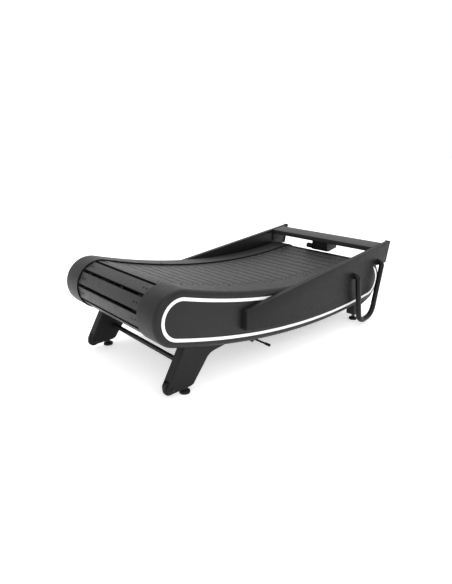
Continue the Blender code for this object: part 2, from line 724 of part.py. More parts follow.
def make_front_bracket(side, word, parts, cutters):
    """Short foot under the front of a housing, open at the top, with a flange forwards and a hole for the foot."""
    top = [(1.360, 0.124), (1.274, 0.116)]
    low = [(1.277, 0.050), (1.289, 0.038), (1.346, 0.038), (1.356, 0.048)]
    outline = [from_rear(x, z) for x, z in top + low]
    y_near, y_far = side * (FRONT_FOOT_Y - BRACKET_HALF), side * (FRONT_FOOT_Y + BRACKET_HALF)
    bracket = flat_plate([outline], y_near, y_far, parts)
    bracket = open_shell(bracket, lambda face: face.normal.z > 0.8, LEG_SHEET, parts)
    outline = [from_rear(x, z) for x, z in FLANGE_OUTLINE]
    flange = flat_plate([outline], y_near, y_far, cutters)
    bracket = boolean(bracket, flange, "UNION", parts)
    bracket = cut_under_housing(bracket, side, parts, cutters)
    x = REAR_X + FRONT_FOOT_X
    hole = cylinder((x, side * FRONT_FOOT_Y, 0.020), (x, side * FRONT_FOOT_Y, 0.055), 0.0065, cutters, 20)
    bracket = boolean(bracket, hole, "DIFFERENCE", parts)
    finish(bracket, "front_bracket_" + word, "black_coat", parts)


def make_tie_tube(parts):
    x, z, side = TIE_TUBE
    x += REAR_X
    half = LEG_Y[0] - GAP
    tie = rectangular_tube((x - side / 2, -half, z - side / 2), (x + side / 2, half, z + side / 2), 0.002, parts)
    finish(tie, "leg_tie_tube", "black_coat", parts)


# ---- foot brake ----

def make_brake(parts, cutters):
    """Rocking lever under the right housing: pushing its outer end down lifts the pad to the belt."""
    x = REAR_X + BRAKE_X
    y, z = BRAKE_PIVOT
    hub_half, ear_gap, ear = 0.009, 0.016, 0.004
    lever = cylinder((x, BRAKE_REACH[0], z), (x, BRAKE_REACH[1], z), 0.005, parts, 16)
    hub = cylinder((x - hub_half, y, z), (x + hub_half, y, z), 0.011, cutters, 24)
    lever = boolean(lever, hub, "UNION", parts)
    bore = cylinder((x - 0.03, y, z), (x + 0.03, y, z), 0.0043, cutters, 20)
    lever = boolean(lever, bore, "DIFFERENCE", parts)
    finish(lever, "brake_lever", "black_coat", parts)

    top = height_at(BRAKE_X + ear_gap + ear, -HOUSING_RADIUS) - GAP
    bracket = box((x - ear_gap - ear, y - 0.016, z - 0.010), (x + ear_gap + ear, y + 0.013, top), parts)
    opening = box((x - ear_gap, y - 0.03, z - 0.02), (x + ear_gap, y + 0.03, top - 0.005), cutters)
    bracket = boolean(bracket, opening, "DIFFERENCE", parts)
    bore = cylinder((x - 0.04, y, z), (x + 0.04, y, z), 0.0043, cutters, 20)
    bracket = boolean(bracket, bore, "DIFFERENCE", parts)
    finish(bracket, "brake_bracket", "black_coat", parts)

    pin = cylinder((x - ear_gap - ear - 0.003, y, z), (x + ear_gap + ear + 0.003, y, z), 0.004, parts, 20)
    finish(pin, "brake_pin", "zinc", parts)

    coil = []
    turns, per_turn, coil_radius = 3, 10, 0.0068
    for k in range(turns * per_turn + 1):
        angle = 2 * math.pi * k / per_turn
        along = x + hub_half + 0.0016 + 0.0042 * k / (turns * per_turn)
        coil.append((along, y + coil_radius * math.cos(angle), z + coil_radius * math.sin(angle)))
    spring = tube(coil, 0.0006, parts, 1)
    finish(spring, "brake_spring", "steel", parts)

    pad_y = BRAKE_REACH[1]
    pad = box((x - 0.030, pad_y + GAP, z - 0.006), (x + 0.030, pad_y + 0.034, z + 0.021), parts)
    finish(pad, "brake_pad", "rubber", parts)
    cap = turned([(0, 0.030), (0.0055, 0.030), (0.0070, 0.0285), (0.0070, 0), (0.0053, 0), (0.0053, 0.026),
                  (0, 0.026)], 20, parts)
    cap.data.transform(Matrix.Rotation(math.radians(90), 4, "X"))
    cap.location = (x, BRAKE_REACH[0] + 0.0257, z)
    finish(cap, "brake_foot_cap", "rubber", parts)


# ---- build ----

def build():
    clear_scene()
    parts = new_collection("curved_treadmill")
    cutters = new_collection("cutters", hidden=True)
    make_belt(parts, cutters)
    make_pulley_set("rear", REAR_CENTRE, parts)
    make_pulley_set("front", FRONT_CENTRE, parts)
    make_cross_members(parts)
    make_crossbar(parts)
    make_centre_unit(parts)
    make_tie_tube(parts)
    make_brake(parts, cutters)

    def side_pieces(side, word):
        make_rail(side, word, parts)
        make_guide_strip(side, word, parts)
        make_housing(side, word, parts)
        make_stripe(side, word, parts)
        make_wing(side, word, parts)
        make_front_plate(side, word, parts)
        make_handle(side, word, parts)
        make_leg(side, word, parts, cutters)
        make_wheel(side, word, parts)
        make_foot("rear_foot_" + word, REAR_X + REAR_FOOT_X, side * (LEG_Y[0] + LEG_Y[1]) / 2, parts)
        make_front_bracket(side, word, parts, cutters)
        make_foot("front_foot_" + word, REAR_X + FRONT_FOOT_X, side * FRONT_FOOT_Y, parts)

    both_sides(side_pieces)


build()
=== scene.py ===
"""Looks of the curved manual treadmill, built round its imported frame. Lengths are in metres.

+X points to the front, where the crossbar is, +Y to the user's left, +Z up. Side-view points are (x, z), and
those among the dimensions count x from the rear pulley axis. Profiles of turned pieces are (radius, height).
"""

import json
import math

import bmesh
import bpy
from mathutils import Matrix, Vector


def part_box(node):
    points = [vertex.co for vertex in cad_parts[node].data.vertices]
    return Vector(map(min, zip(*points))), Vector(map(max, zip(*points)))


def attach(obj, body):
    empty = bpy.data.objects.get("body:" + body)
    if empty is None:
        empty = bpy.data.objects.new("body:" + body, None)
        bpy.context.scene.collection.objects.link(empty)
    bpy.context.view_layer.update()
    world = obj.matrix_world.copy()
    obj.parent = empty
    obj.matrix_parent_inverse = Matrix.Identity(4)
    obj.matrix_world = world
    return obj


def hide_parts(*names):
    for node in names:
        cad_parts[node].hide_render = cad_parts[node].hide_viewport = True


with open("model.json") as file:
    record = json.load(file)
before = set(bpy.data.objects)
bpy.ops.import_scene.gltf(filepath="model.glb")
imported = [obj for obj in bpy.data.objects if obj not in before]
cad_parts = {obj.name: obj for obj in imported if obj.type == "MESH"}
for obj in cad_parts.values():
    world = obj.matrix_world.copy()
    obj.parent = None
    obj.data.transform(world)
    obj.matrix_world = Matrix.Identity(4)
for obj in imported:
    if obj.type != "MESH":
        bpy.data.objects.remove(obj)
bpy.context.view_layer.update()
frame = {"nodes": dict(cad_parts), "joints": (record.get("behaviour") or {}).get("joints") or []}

# ---- dimensions ----
JOINTS = {joint["name"]: joint for joint in frame["joints"]}
REAR = Vector(JOINTS["rear_axle_spin"]["pos_m"])
FRONT = Vector(JOINTS["front_axle_spin"]["pos_m"])
REAR_X = REAR.x
ARC_RADIUS = 3.610              # of the body's curved centreline

HOUSING_RADIUS = 0.120
HOUSING_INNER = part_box("side_housing_left")[0].y
HOUSING_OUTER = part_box("side_housing_left")[1].y
HOUSING_ROUND = 0.022
HOUSING_WALL = 0.003
HOUSING_BLOCK_INNER = 0.25      # the legs and brackets stand outside this Y
HOUSING_LIP = 0.0012            # rounding at the cover's open side
COVER_SCREWS_X = (0.06, 0.34, 0.64, 0.94, 1.24)
COVER_SCREW = (0.005, 0.002)    # radius and height of the head
COVER_SCREW_INSET = 0.012
STRIPE_OUTER = 0.0900           # the white line's edges, from the centreline
STRIPE_INNER = 0.0760
STRIPE_EDGE = 0.0003
STRIPE_Y = (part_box("trim_loop_left")[0].y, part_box("trim_loop_left")[1].y)

SLAT_COUNT = 56
SLAT_TOP = 0.1125
SLAT_THICK = 0.0115
SLAT_HALF_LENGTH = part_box("slat_belt")[1].y
SLAT_GAP = 0.0022
TREAD_THICK = 0.0085            # rubber on top of each slat's core
TREAD_ROUND = 0.0022
TREAD_SIDE_LEAN = 0.2           # faces of a slat whose normal leans further than this are its sides
CORE_INSET = 0.0015
BELT_THICK = 0.004
BELT_Y = (0.196, 0.224)
BELT_CHAMFER = 0.0008
BELT_CLEAR = 0.0001             # between the drive belts and the slats
FIRST_GAP_DEG = 24.5
SLAT_SCREWS_Y = (0.208, 0.229)
SLAT_SCREW = (0.0042, 0.0014)   # radius and height of the head

WING_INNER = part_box("wing_cover_left")[0].y
WING_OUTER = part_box("wing_cover_left")[1].y
WING_SHEET = 0.0025
WING_ROUND = 0.003
WING_BACK_THICK = 0.003
WING_BACK_GAP = 0.0008
WING_REAR = 0.336
WING_TIP = (1.5475, 0.4514)
WING_TOP_SLOPE = 0.111
WING_LOW_OFFSET = -0.053
WING_LOW_FRONT = 1.335
WING_CORNER = 0.083
WING_CORNER_SWEEP_DEG = 135
WING_NOTCH = (1.385, 0.326)
WING_LOW_TIP = (1.5195, 0.326)
FRONT_BAR_THICK = 0.010
FRONT_BAR_RISE = 0.005
FRONT_BAR_OVERHANG = 0.004
FRONT_BAR_ROUND = 0.0022

CROSSBAR = (1.398, 1.506)
CROSSBAR_HEIGHT = 0.030
CROSSBAR_WALL = 0.003
CROSSBAR_INSET = 0.0005         # below the wings' top line
CROSSBAR_PLATE_DROP = 0.045     # of the end plates, below the bar
# the unit under the crossbar: its lower edge, and where its top lies, forwards from the bar's rear edge
UNIT_LOW = ((1.420, 0.3478), (1.447, 0.3440), (1.530, 0.3585))
UNIT_TOP = (0.014, 0.130)
PLUG_RIBS = 9
PLUG_RIB_PITCH = 0.0033
PLUG_RIB_START = 0.0080
HANDLE_Y = 0.437
HANDLE_RADIUS = 0.015
HANDLE_BEND = 0.018
HANDLE_ENTRY = 0.0015           # the tube starts this far out of the wing's face
HANDLE_FLANGE = (0.018, 0.004)  # radius and height
HANDLE_REAR = ((1.180, 0.309), (1.221, 0.094))      # each leg's top and low end
HANDLE_FRONT = ((1.432, 0.346), (1.383, 0.104))
HANDLE_BOTTOM = ((1.281, 0.031), (1.318, 0.035))
HANDLE_CORNERS = ((1.229, 0.036), (1.373, 0.043))   # control points of the bends at the bottom
LEG_Y = (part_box("rear_leg_left")[0].y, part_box("rear_leg_left")[1].y)
LEG_SHEET = 0.003
STAND_ROUND = 0.0035            # along the outer edges of legs and front brackets
LEG_TOP = (0.280, 0.048)        # the leg meets the cover's underside between these two
LEG_TOP_OVERLAP = 0.012
LEG_ROOF = 0.15                 # faces of the leg above this height are its open top
HEEL_CENTRE = (-0.028, 0.053)
HEEL_RADIUS = 0.023
HEEL_START_DEG = 150.5
HEEL_SWEEP_DEG = 119.5
WHEEL_RADIUS = 0.030
WHEEL_HALF = 0.010
WHEEL_SLOT = (0.004, 0.005)     # clearance of the notch beside the wheel and round it
WHEEL_SLOT_REACH = 0.060        # the notch runs this far to the rear and down from the axle
WHEEL_SHAFT_RADIUS = 0.004
FOOT_RADIUS = 0.024
THREAD_PITCH = 0.0015
THREAD_TURNS = 34
THREAD_RADII = (0.0052, 0.0060)
THREAD_START = 0.0238
BRACKET_HALF = 0.024
BRACKET_ROOF = 0.08
FLANGE_OUTLINE = ((1.357, 0.128), (1.357, 0.089), (1.408, 0.104), (1.456, 0.121), (1.462, 0.127),
                  (1.462, 0.140))
BRAKE_ROUND = 0.003
CAP_RIBS = 4
CAP_RIB_PITCH = 0.0045
SHOE_GROOVES_X = (-0.015, 0.0, 0.015)
SPRING_TURNS = 3
SPRING_RADIUS = 0.0068
SPRING_WIRE = 0.0006
UP = Vector((0, 0, 1))
SIDES = ((-1, "right"), (1, "left"))
GAP = 0.0003                    # kept between pieces that would otherwise share a face

# ---- studio ----
FLOOR_HALF = 30
FLOOR_GLOW = 0.5
WORLD_STRENGTH = 1.0
LIGHTS_AIM = (0, 0, 0.3)
TOP_LIGHT = ((0.3, 0.6, 3.2), (3.0, 2.4), 45)       # place, size and power
KEY_LIGHT = ((-1.8, -3.4, 2.6), (2.2, 1.6), 30)
CAMERA_PLACE = (-1.6791, -1.6641, 1.0053)
CAMERA_PAN_DEG = 47.0
CAMERA_TILT_DEG = 18.43
CAMERA_ROLL_DEG = 0.2
CAMERA_LENS = 35.51
CAMERA_SENSOR = 36.0


# ---- the body's curve ----

def arc_centre():
    chord = Vector((FRONT.x - REAR.x, FRONT.z - REAR.z))
    middle = Vector((REAR.x, REAR.z)) + chord / 2
    up = Vector((-chord.y, chord.x)).normalized()
    return middle + up * math.sqrt(ARC_RADIUS ** 2 - (chord.length / 2) ** 2)


ARC = arc_centre()
REAR_ANGLE = math.asin((REAR.x - ARC.x) / ARC_RADIUS)
FRONT_ANGLE = math.asin((FRONT.x - ARC.x) / ARC_RADIUS)


def from_rear(x, z):
    return (REAR_X + x, z)


def on_curve(angle, offset):
    """The side-view point offset upwards from the centreline, at an angle about the curve's centre."""
    radius = ARC_RADIUS - offset
    return (ARC.x + radius * math.sin(angle), ARC.y - radius * math.cos(angle))


def height_at(x, offset):
    """Height of the offset curve at a distance x from the rear pulley axis."""
    return on_curve(math.asin((REAR_X + x - ARC.x) / (ARC_RADIUS - offset)), offset)[1]


def around(centre, radius, start, sweep, steps):
    """Points on an arc in side view, without its last point. Angles run from +X to +Z."""
    angles = [start + sweep * k / steps for k in range(steps)]
    return [(centre[0] + radius * math.cos(a), centre[1] + radius * math.sin(a)) for a in angles]


def band(offset, long_steps=64, end_steps=40):
    """The racetrack outline at a distance from the centreline."""
    span = FRONT_ANGLE - REAR_ANGLE
    top = [on_curve(REAR_ANGLE + span * k / long_steps, offset) for k in range(long_steps)]
    front = around((FRONT.x, FRONT.z), offset, math.pi / 2 + FRONT_ANGLE, -math.pi, end_steps)
    bottom = [on_curve(FRONT_ANGLE - span * k / long_steps, -offset) for k in range(long_steps)]
    rear = around((REAR.x, REAR.z), offset, -math.pi / 2 + REAR_ANGLE, -math.pi, end_steps)
    return top + front + bottom + rear


def loop_place(distance, offset):
    """Place and outward angle at a distance along the belt, backwards from the rear wrap's top tangent."""
    wrap = math.pi * offset
    span = FRONT_ANGLE - REAR_ANGLE
    bottom = (ARC_RADIUS + offset) * span
    top = (ARC_RADIUS - offset) * span
    distance = distance % (2 * wrap + bottom + top)
    if distance < wrap:
        turn = math.pi / 2 + REAR_ANGLE + distance / offset
        return (REAR.x + offset * math.cos(turn), REAR.z + offset * math.sin(turn)), turn
    distance -= wrap
    if distance < bottom:
        angle = REAR_ANGLE + distance / (ARC_RADIUS + offset)
        return on_curve(angle, -offset), angle - math.pi / 2
    distance -= bottom
    if distance < wrap:
        turn = FRONT_ANGLE - math.pi / 2 + distance / offset
        return (FRONT.x + offset * math.cos(turn), FRONT.z + offset * math.sin(turn)), turn
    distance -= wrap
    angle = FRONT_ANGLE - distance / (ARC_RADIUS - offset)
    return on_curve(angle, offset), angle + math.pi / 2


def wing_top(x):
    """Height of the wing's top edge at a distance from the rear pulley axis."""
    return WING_TIP[1] - (WING_TIP[0] - x) * WING_TOP_SLOPE


def sloped(distance, drop):
    """A side-view point below the wing's top line, square to it."""
    slope = math.atan(WING_TOP_SLOPE)
    return from_rear(distance + drop * math.sin(slope), wing_top(distance) - drop * math.cos(slope))


# ---- materials ----

class Finish:
    """A Principled material whose colour, roughness and bump come from procedural nodes."""

    def __init__(self, name, metallic=0.0, specular=0.5):
        self.material = bpy.data.materials.new(name)
        self.material.use_nodes = True
        self.tree = self.material.node_tree
        self.shader = self.tree.nodes["Principled BSDF"]
        self.shader.inputs["Metallic"].default_value = metallic
        self.shader.inputs["Specular IOR Level"].default_value = specular
        self.place = self.tree.nodes.new("ShaderNodeTexCoord").outputs["Object"]

    def link(self, source, target):
        self.tree.links.new(source, target)

    def stretched(self, scale):
        mapping = self.tree.nodes.new("ShaderNodeMapping")
        mapping.inputs["Scale"].default_value = scale
        self.link(self.place, mapping.inputs["Vector"])
        return mapping.outputs["Vector"]

    def noise(self, scale, detail=3.0, roughness=0.55, vector=None):
        node = self.tree.nodes.new("ShaderNodeTexNoise")
        node.inputs["Scale"].default_value = scale
        node.inputs["Detail"].default_value = detail
        node.inputs["Roughness"].default_value = roughness
        self.link(vector or self.place, node.inputs["Vector"])
        return node.outputs["Fac"]

    def cells(self, scale):
        node = self.tree.nodes.new("ShaderNodeTexVoronoi")
        node.inputs["Scale"].default_value = scale
        self.link(self.place, node.inputs["Vector"])
        return node.outputs["Distance"]

    def ramp(self, source, stops):
        node = self.tree.nodes.new("ShaderNodeValToRGB")
        ramp = node.color_ramp
        for element, (position, color) in zip(ramp.elements, (stops[0], stops[-1])):
            element.position = position
            element.color = color
        for position, color in stops[1:-1]:
            ramp.elements.new(position).color = color
        self.link(source, node.inputs["Fac"])
        return node.outputs["Color"]

    def spread(self, source, low, high, start=0.3, end=0.7):
        """Maps a noise value to the range low to high."""
        node = self.tree.nodes.new("ShaderNodeMapRange")
        node.inputs["From Min"].default_value = start
        node.inputs["From Max"].default_value = end
        node.inputs["To Min"].default_value = low
        node.inputs["To Max"].default_value = high
        self.link(source, node.inputs["Value"])
        return node.outputs["Result"]

    def mix(self, factor, first, second):
        node = self.tree.nodes.new("ShaderNodeMix")
        node.data_type = "RGBA"
        self.link(factor, node.inputs["Factor"])
        for source, socket in ((first, node.inputs[6]), (second, node.inputs[7])):
            if isinstance(source, tuple):
                socket.default_value = source
            else:
                self.link(source, socket)
        return node.outputs[2]

    def edges(self, low, high):
        """0 on faces to 1 along the outer edges."""
        geometry = self.tree.nodes.new("ShaderNodeNewGeometry")
        return self.spread(geometry.outputs["Pointiness"], 0.0, 1.0, low, high)

    def bump(self, *layers):
        """Stacks bumps, given as (height source, depth in metres)."""
        normal = None
        for height, depth in layers:
            node = self.tree.nodes.new("ShaderNodeBump")
            node.inputs["Strength"].default_value = 1.0
            node.inputs["Distance"].default_value = depth
            self.link(height, node.inputs["Height"])
            if normal:
                self.link(normal, node.inputs["Normal"])
            normal = node.outputs["Normal"]
        self.link(normal, self.shader.inputs["Normal"])

    def color(self, source):
        self.link(source, self.shader.inputs["Base Color"])

    def rough(self, source):
        self.link(source, self.shader.inputs["Roughness"])


def grey(value, tint=0.0):
    """A grey as RGBA; a positive tint makes it a little bluer."""
    return (value * (1 - tint / 2), value, value * (1 + tint), 1.0)


def powder_coat(name, value=0.011, roughness=0.42, specular=0.25):
    """Black satin powder coat: orange peel, fine sparkle of texture, outer edges a little paler as rubbed
    wear and as a painted highlight.
    """
    look = Finish(name, specular=specular)
    patches = look.ramp(look.noise(7.0, 4.0), [(0.35, grey(value * 0.88)), (0.65, grey(value * 1.12))])
    # the outer edges are painted paler: partly rubbed wear, partly a painted highlight along the rounded
    # edges
    edge_wear_and_highlight = look.mix(look.edges(0.53, 0.62), patches, grey(value * 2.2))
    look.color(edge_wear_and_highlight)
    look.rough(look.spread(look.noise(60.0, 5.0), roughness - 0.05, roughness + 0.06))
    look.bump((look.noise(420.0, 2.0), 0.00010), (look.noise(1500.0, 1.0), 0.00004))
    return look.material


def moulded_plastic(name, value=0.010, roughness=0.46):
    """Black moulded plastic with a fine leather-like grain, its outer edges painted paler as a highlight."""
    look = Finish(name, specular=0.25)
    patches = look.ramp(look.noise(5.0, 3.0), [(0.35, grey(value * 0.92)), (0.65, grey(value * 1.08))])
    # the outer edges are painted paler: a painted highlight along rounded edges such as the side covers'
    # rounding
    look.color(look.mix(look.edges(0.53, 0.62), patches, grey(value * 1.7)))
    look.rough(look.spread(look.noise(35.0, 6.0), roughness - 0.04, roughness + 0.05))
    look.bump((look.cells(900.0), 0.00006), (look.noise(2200.0, 1.0), 0.00002))
    return look.material


def tread_rubber(name):
    """Dark grey rubber slats: granular, with a lane down the middle scuffed a little paler."""
    look = Finish(name, specular=0.4)
    axes = look.tree.nodes.new("ShaderNodeSeparateXYZ")
    look.link(look.place, axes.inputs["Vector"])
    aside = look.tree.nodes.new("ShaderNodeMath")
    aside.operation = "ABSOLUTE"
    look.link(axes.outputs["Y"], aside.inputs[0])
    lane = look.spread(aside.outputs["Value"], 0.35, 0.0, 0.06, 0.21)
    specks = look.ramp(look.noise(900.0, 2.0), [(0.3, grey(0.013)), (0.5, grey(0.018)), (0.75, grey(0.025))])
    look.color(look.mix(lane, specks, grey(0.032)))
    look.rough(look.spread(look.noise(45.0, 5.0), 0.42, 0.56))
    look.bump((look.cells(700.0), 0.00012), (look.noise(2400.0, 2.0), 0.00005))
    return look.material


def plain_rubber(name, value=0.007, roughness=0.62, specular=0.25):
    look = Finish(name, specular=specular)
    look.color(look.ramp(look.noise(30.0, 4.0), [(0.35, grey(value * 0.8)), (0.7, grey(value * 1.5))]))
    look.rough(look.spread(look.noise(80.0, 4.0), roughness - 0.08, roughness + 0.1))
    look.bump((look.noise(1100.0, 2.0), 0.00008))
    return look.material


def white_vinyl(name):
    look = Finish(name)
    look.color(look.ramp(look.noise(9.0, 3.0), [(0.3, grey(0.89)), (0.7, grey(0.93))]))
    look.rough(look.spread(look.noise(50.0, 3.0), 0.40, 0.50))
    look.bump((look.noise(700.0, 1.0), 0.00002))
    return look.material


def metal(name, value, roughness, stretch=(1.0, 1.0, 1.0), warm=0.0):
    """Machined or plated metal; stretch sets the direction of its fine marks."""
    look = Finish(name, metallic=1.0)
    marks = look.noise(900.0, 3.0, 0.6, look.stretched(stretch))
    dull = look.ramp(look.noise(25.0, 4.0), [(0.3, grey(value * 0.85, -warm)), (0.7, grey(value, -warm))])
    look.color(look.mix(look.edges(0.53, 0.62), dull, grey(min(1.0, value * 1.25), -warm)))
    look.rough(look.spread(marks, roughness - 0.06, roughness + 0.10))
    look.bump((marks, 0.00002))
    return look.material


def pale_plastic(name):
    look = Finish(name)
    look.color(look.ramp(look.noise(20.0, 3.0), [(0.3, grey(0.60, -0.04)), (0.7, grey(0.70, -0.04))]))
    look.rough(look.spread(look.noise(60.0, 3.0), 0.42, 0.55))
    look.bump((look.noise(900.0, 1.0), 0.00003))
    return look.material


COAT = powder_coat("black_powder_coat")
DARK_COAT = powder_coat("dark_powder_coat", 0.006, 0.44, 0.16)
BAR_COAT = powder_coat("handle_powder_coat", 0.004, 0.34, 0.2)
SHROUD = moulded_plastic("black_moulded_plastic")
DARK_SHROUD = moulded_plastic("dark_moulded_plastic", 0.004, 0.5)
TREAD = tread_rubber("slat_tread_rubber")
# darker, duller rubber for the slats' side faces than for their tops: painted shade in the gaps between slats
SHADED_SLAT_SIDES = plain_rubber("slat_side_painted_shade_rubber", 0.003, 0.85, 0.1)
CORE = metal("slat_core_black_anodised", 0.035, 0.42, (1.0, 0.1, 1.0))
RUBBER = plain_rubber("black_rubber")
BELT_RUBBER = plain_rubber("drive_belt_rubber", 0.014, 0.7)
WHITE = white_vinyl("white_vinyl")
STEEL = metal("turned_steel", 0.42, 0.34, (1.0, 0.15, 1.0))
ZINC = metal("zinc_plate", 0.52, 0.36, warm=0.03)
BLACK_STEEL = metal("black_oxide_steel", 0.04, 0.38)
DARK_STEEL = metal("blackened_screw_steel", 0.012, 0.5)
ALLOY = metal("pulley_alloy_turned", 0.50, 0.38, (1.0, 0.15, 1.0))
PALE = pale_plastic("guide_plastic_pale")
HUB = moulded_plastic("wheel_hub_plastic", 0.05, 0.5)


# ---- mesh helpers ----

def bridge(bm, first, second):
    for k in range(len(first)):
        after = (k + 1) % len(first)
        bm.faces.new((first[k], first[after], second[after], second[k]))


def loft(rings, caps=(True, True)):
    """Joins rings of points into a skin, with a face at each end that caps asks for."""
    bm = bmesh.new()
    rows = [[bm.verts.new(point) for point in ring] for ring in rings]
    for first, second in zip(rows, rows[1:]):
        bridge(bm, first, second)
    if caps[0]:
        bm.faces.new(rows[0])
    if caps[1]:
        bm.faces.new(rows[-1])
    bmesh.ops.recalc_face_normals(bm, faces=bm.faces)
    return bm


def plate(outline, y_near, y_far):
    return loft([[(x, y, z) for x, z in outline] for y in (y_near, y_far)])


def turned(profile, steps, closed=False):
    """A turned solid about Z. A profile starts and ends on the axis, or closed makes it a ring."""
    bm = bmesh.new()
    rows = []
    for radius, z in profile:
        if radius < 1e-7:
            rows.append([bm.verts.new((0, 0, z))])
            continue
        angles = [2 * math.pi * k / steps for k in range(steps)]
        rows.append([bm.verts.new((radius * math.cos(a), radius * math.sin(a), z)) for a in angles])
    pairs = list(zip(rows, rows[1:]))
    if closed:
        pairs.append((rows[-1], rows[0]))
    for first, second in pairs:
        if len(first) == 1 or len(second) == 1:
            tip, rim = (first[0], second) if len(first) == 1 else (second[0], first)
            for k in range(steps):
                bm.faces.new((tip, rim[k], rim[(k + 1) % steps]))
        else:
            bridge(bm, first, second)
    bmesh.ops.recalc_face_normals(bm, faces=bm.faces)
    return bm


def block(low, high):
    bm = bmesh.new()
    low, high = Vector(low), Vector(high)
    place = Matrix.Translation((low + high) / 2) @ Matrix.Diagonal((*(high - low), 1))
    bmesh.ops.create_cube(bm, size=1, matrix=place)
    return bm


def round_edges(bm, test, radius, segments=3):
    edges = [edge for edge in bm.edges if test(edge)]
    bmesh.ops.bevel(bm, geom=edges, offset=radius, segments=segments, profile=0.5, affect="EDGES",
                    clamp_overlap=True)
    return bm


def sharp(edge):
    return edge.calc_face_angle(0.0) > math.radians(25)


def on_plane(y, tolerance=1e-5):
    return lambda edge: sharp(edge) and all(abs(vert.co.y - y) < tolerance for vert in edge.verts)


def spans(edge, axis, distance):
    """Whether an edge reaches further than a distance along an axis."""
    first, second = edge.verts
    return abs(getattr(first.co, axis) - getattr(second.co, axis)) > distance


def without(bm, test):
    bmesh.ops.delete(bm, geom=[face for face in bm.faces if test(face)], context="FACES")
    return bm


def moved(bm, matrix):
    bmesh.ops.transform(bm, matrix=matrix, verts=bm.verts)
    return bm


def along_y(bm, centre, side=1):
    """Turns a piece made about Z so that its top points to side * Y, through centre."""
    return moved(bm, Matrix.Translation(centre) @ Matrix.Rotation(math.radians(-90 * side), 4, "X"))


def piece(name, bm, material, body="frame", nodes=(), smooth=32):
    """Makes the object, gives it its finish and sets it on its body in place of its CAD nodes."""
    mesh = bpy.data.meshes.new(name)
    bm.to_mesh(mesh)
    bm.free()
    obj = bpy.data.objects.new(name, mesh)
    bpy.context.scene.collection.objects.link(obj)
    mesh.materials.append(material)
    mesh.shade_smooth()
    mesh.set_sharp_from_angle(angle=math.radians(smooth))
    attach(obj, body)
    if nodes:
        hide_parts(*nodes)
    return obj


def temporary(bm):
    mesh = bpy.data.meshes.new("temporary")
    bm.to_mesh(mesh)
    bm.free()
    obj = bpy.data.objects.new("temporary", mesh)
    bpy.context.scene.collection.objects.link(obj)
    return obj


def evaluated(obj):
    """The object's mesh with its modifiers applied, as a bmesh. The object is removed."""
    graph = bpy.context.evaluated_depsgraph_get()
    bm = bmesh.new()
    bm.from_object(obj, graph)
    mesh = obj.data
    bpy.data.objects.remove(obj, do_unlink=True)
    bpy.data.meshes.remove(mesh)
    return bm


def thick(bm, thickness):
    """A skin with a wall on its inner side."""
    obj = temporary(bm)
    solid = obj.modifiers.new("Solidify", "SOLIDIFY")
    solid.thickness = thickness
    solid.offset = -1.0
    solid.use_even_offset = True
    return evaluated(obj)


def cut(bm, *cutters):
    for cutter in cutters:
        obj, tool = temporary(bm), temporary(cutter)
        boolean = obj.modifiers.new("Boolean", "BOOLEAN")
        boolean.operation = "DIFFERENCE"
        boolean.object = tool
        bm = evaluated(obj)
        mesh = tool.data
        bpy.data.objects.remove(tool, do_unlink=True)
        bpy.data.meshes.remove(mesh)
    return bm


def stamp(bm, mesh, matrix):
    """Adds a copy of a mesh to bm."""
    start = len(bm.verts)
    bm.from_mesh(mesh)
    bm.verts.ensure_lookup_table()
    bmesh.ops.transform(bm, matrix=matrix, verts=bm.verts[start:])


def as_mesh(bm):
    mesh = bpy.data.meshes.new("pattern")
    bm.to_mesh(mesh)
    bm.free()
    return mesh


def scattered(pattern, places):
    """One mesh with a copy of the pattern at each place."""
    mesh = as_mesh(pattern)
    bm = bmesh.new()
    for place in places:
        stamp(bm, mesh, place)
    bpy.data.meshes.remove(mesh)
    return bm


def ring(radius, z, sides, hexagon=False):
    points = []
    for k in range(sides):
        angle = 2 * math.pi * k / sides
        reach = radius
        if hexagon:
            reach = radius * math.cos(math.pi / 6) / math.cos(angle % (math.pi / 3) - math.pi / 6)
        points.append((reach * math.cos(angle), reach * math.sin(angle), z))
    return points


def socket_screw(radius, height, sides=24):
    """Button head with a hexagon socket; its foot reaches a little into the surface below."""
    head = [ring(radius, -0.001, sides), ring(radius, height * 0.35, sides),
            ring(radius * 0.9, height * 0.75, sides), ring(radius * 0.7, height, sides)]
    socket = [ring(radius * 0.5, height, sides, True), ring(radius * 0.46, height * 0.25, sides, True)]
    return loft(head + socket)


def hex_bolt(radius, height, washer=0.0012):
    """Hexagon head on a round washer."""
    under = [ring(radius * 1.35, -0.001, 24), ring(radius * 1.35, washer * 0.8, 24),
             ring(radius * 1.3, washer, 24)]
    head = [ring(radius, washer, 24, True), ring(radius, washer + height * 0.85, 24, True),
            ring(radius * 0.84, washer + height, 24)]
    return loft(under + head)


def facing(point, normal):
    """Places a piece made about Z at a point, with its top along the normal."""
    turn = UP.rotation_difference(Vector(normal).normalized()).to_matrix().to_4x4()
    return Matrix.Translation(point) @ turn


def swept(points, radius, sides):
    """A round bar along a list of points, with its rings kept from twisting."""
    points = [Vector(point) for point in points]
    rings = []
    across = None
    for k, point in enumerate(points):
        before = points[max(k - 1, 0)]
        after = points[min(k + 1, len(points) - 1)]
        along = (after - before).normalized()
        if across is None:
            across = along.orthogonal().normalized()
        across = (across - along * across.dot(along)).normalized()
        other = along.cross(across)
        angles = [2 * math.pi * j / sides for j in range(sides)]
        rings.append([tuple(point + (across * math.cos(a) + other * math.sin(a)) * radius) for a in angles])
    return loft(rings)


def quadratic(start, control, end, steps):
    points = []
    for k in range(steps + 1):
        t = k / steps
        points.append(start * (1 - t) ** 2 + control * 2 * t * (1 - t) + end * t ** 2)
    return points


# ---- slat belt ----

def slat_turn(turn):
    return Matrix.Rotation(math.pi / 2 - turn, 4, "Y")


